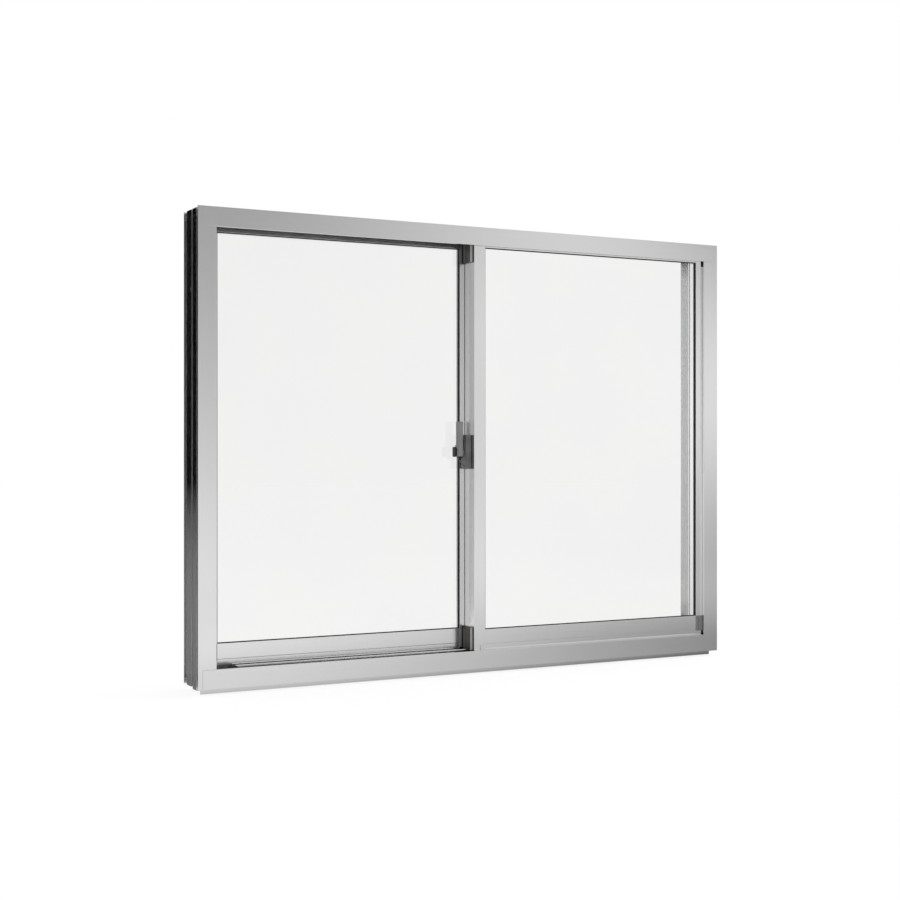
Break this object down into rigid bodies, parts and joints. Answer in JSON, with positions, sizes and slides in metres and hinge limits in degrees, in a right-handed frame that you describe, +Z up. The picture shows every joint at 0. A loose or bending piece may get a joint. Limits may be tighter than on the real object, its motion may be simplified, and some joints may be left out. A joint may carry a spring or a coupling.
{
  "type": "sliding window",
  "caption": "Sliding window with two glazed aluminium sashes in a tracked frame, closed by a crescent lock with a turning lever at the meeting stiles.",
  "frame": {"origin": "on the flat underside of the sill, at mid width and mid depth of the frame", "axes": "+X to the right as seen from the room, +Y outdoors, +Z up"},
  "size_m": [1.2, 0.103, 0.91],
  "materials": {
    "anodised_aluminium": "fine satin anodised extrusion",
    "clear_glass": "clear float glass",
    "glazing_rubber": "matt black rubber",
    "soft_rubber": "matt grey rubber",
    "pile_seal": "short pile",
    "white_nylon": "moulded",
    "dark_plastic": "moulded",
    "grey_plastic": "moulded",
    "black_plastic": "moulded",
    "lock_paint": "satin grey metallic paint",
    "steel": "zinc plated"
  },
  "bodies": {
    "window": {"head": "anodised_aluminium", "sill": "anodised_aluminium", "jamb_left": "anodised_aluminium", "jamb_right": "anodised_aluminium", "head_windstop": "soft_rubber", "sill_windstop": "soft_rubber", "drain_covers": "grey_plastic", "front_top_rail": "anodised_aluminium", "front_bottom_rail": "anodised_aluminium", "front_side_stile": "anodised_aluminium", "front_meeting_stile": "anodised_aluminium", "front_glass": "clear_glass", "front_gasket": "glazing_rubber", "front_roller_carriages": "white_nylon", "front_rollers": "white_nylon", "front_side_seal": "pile_seal", "front_cap_top": "dark_plastic", "front_cap_bottom": "dark_plastic", "front_side_block": "grey_plastic", "rear_top_rail": "anodised_aluminium", "rear_bottom_rail": "anodised_aluminium", "rear_side_stile": "anodised_aluminium", "rear_meeting_stile": "anodised_aluminium", "rear_glass": "clear_glass", "rear_gasket": "glazing_rubber", "rear_roller_carriages": "white_nylon", "rear_rollers": "white_nylon", "rear_side_seal": "pile_seal", "rear_cap_top": "dark_plastic", "rear_cap_bottom": "dark_plastic", "rear_side_block": "grey_plastic", "meeting_seal": "pile_seal", "lock_housing": "lock_paint", "lock_keeper": "steel"},
    "lever": {"lock_lever": "lock_paint", "lock_cam": "steel", "lock_button": "black_plastic"}
  },
  "joints": [
    {"name": "lever_turn", "type": "hinge", "parent": "window", "child": "lever", "pos_m": [-0.02, -0.018, 0.437], "axis": [1, 0, 0], "range_deg": [0, 180]}
  ]
}
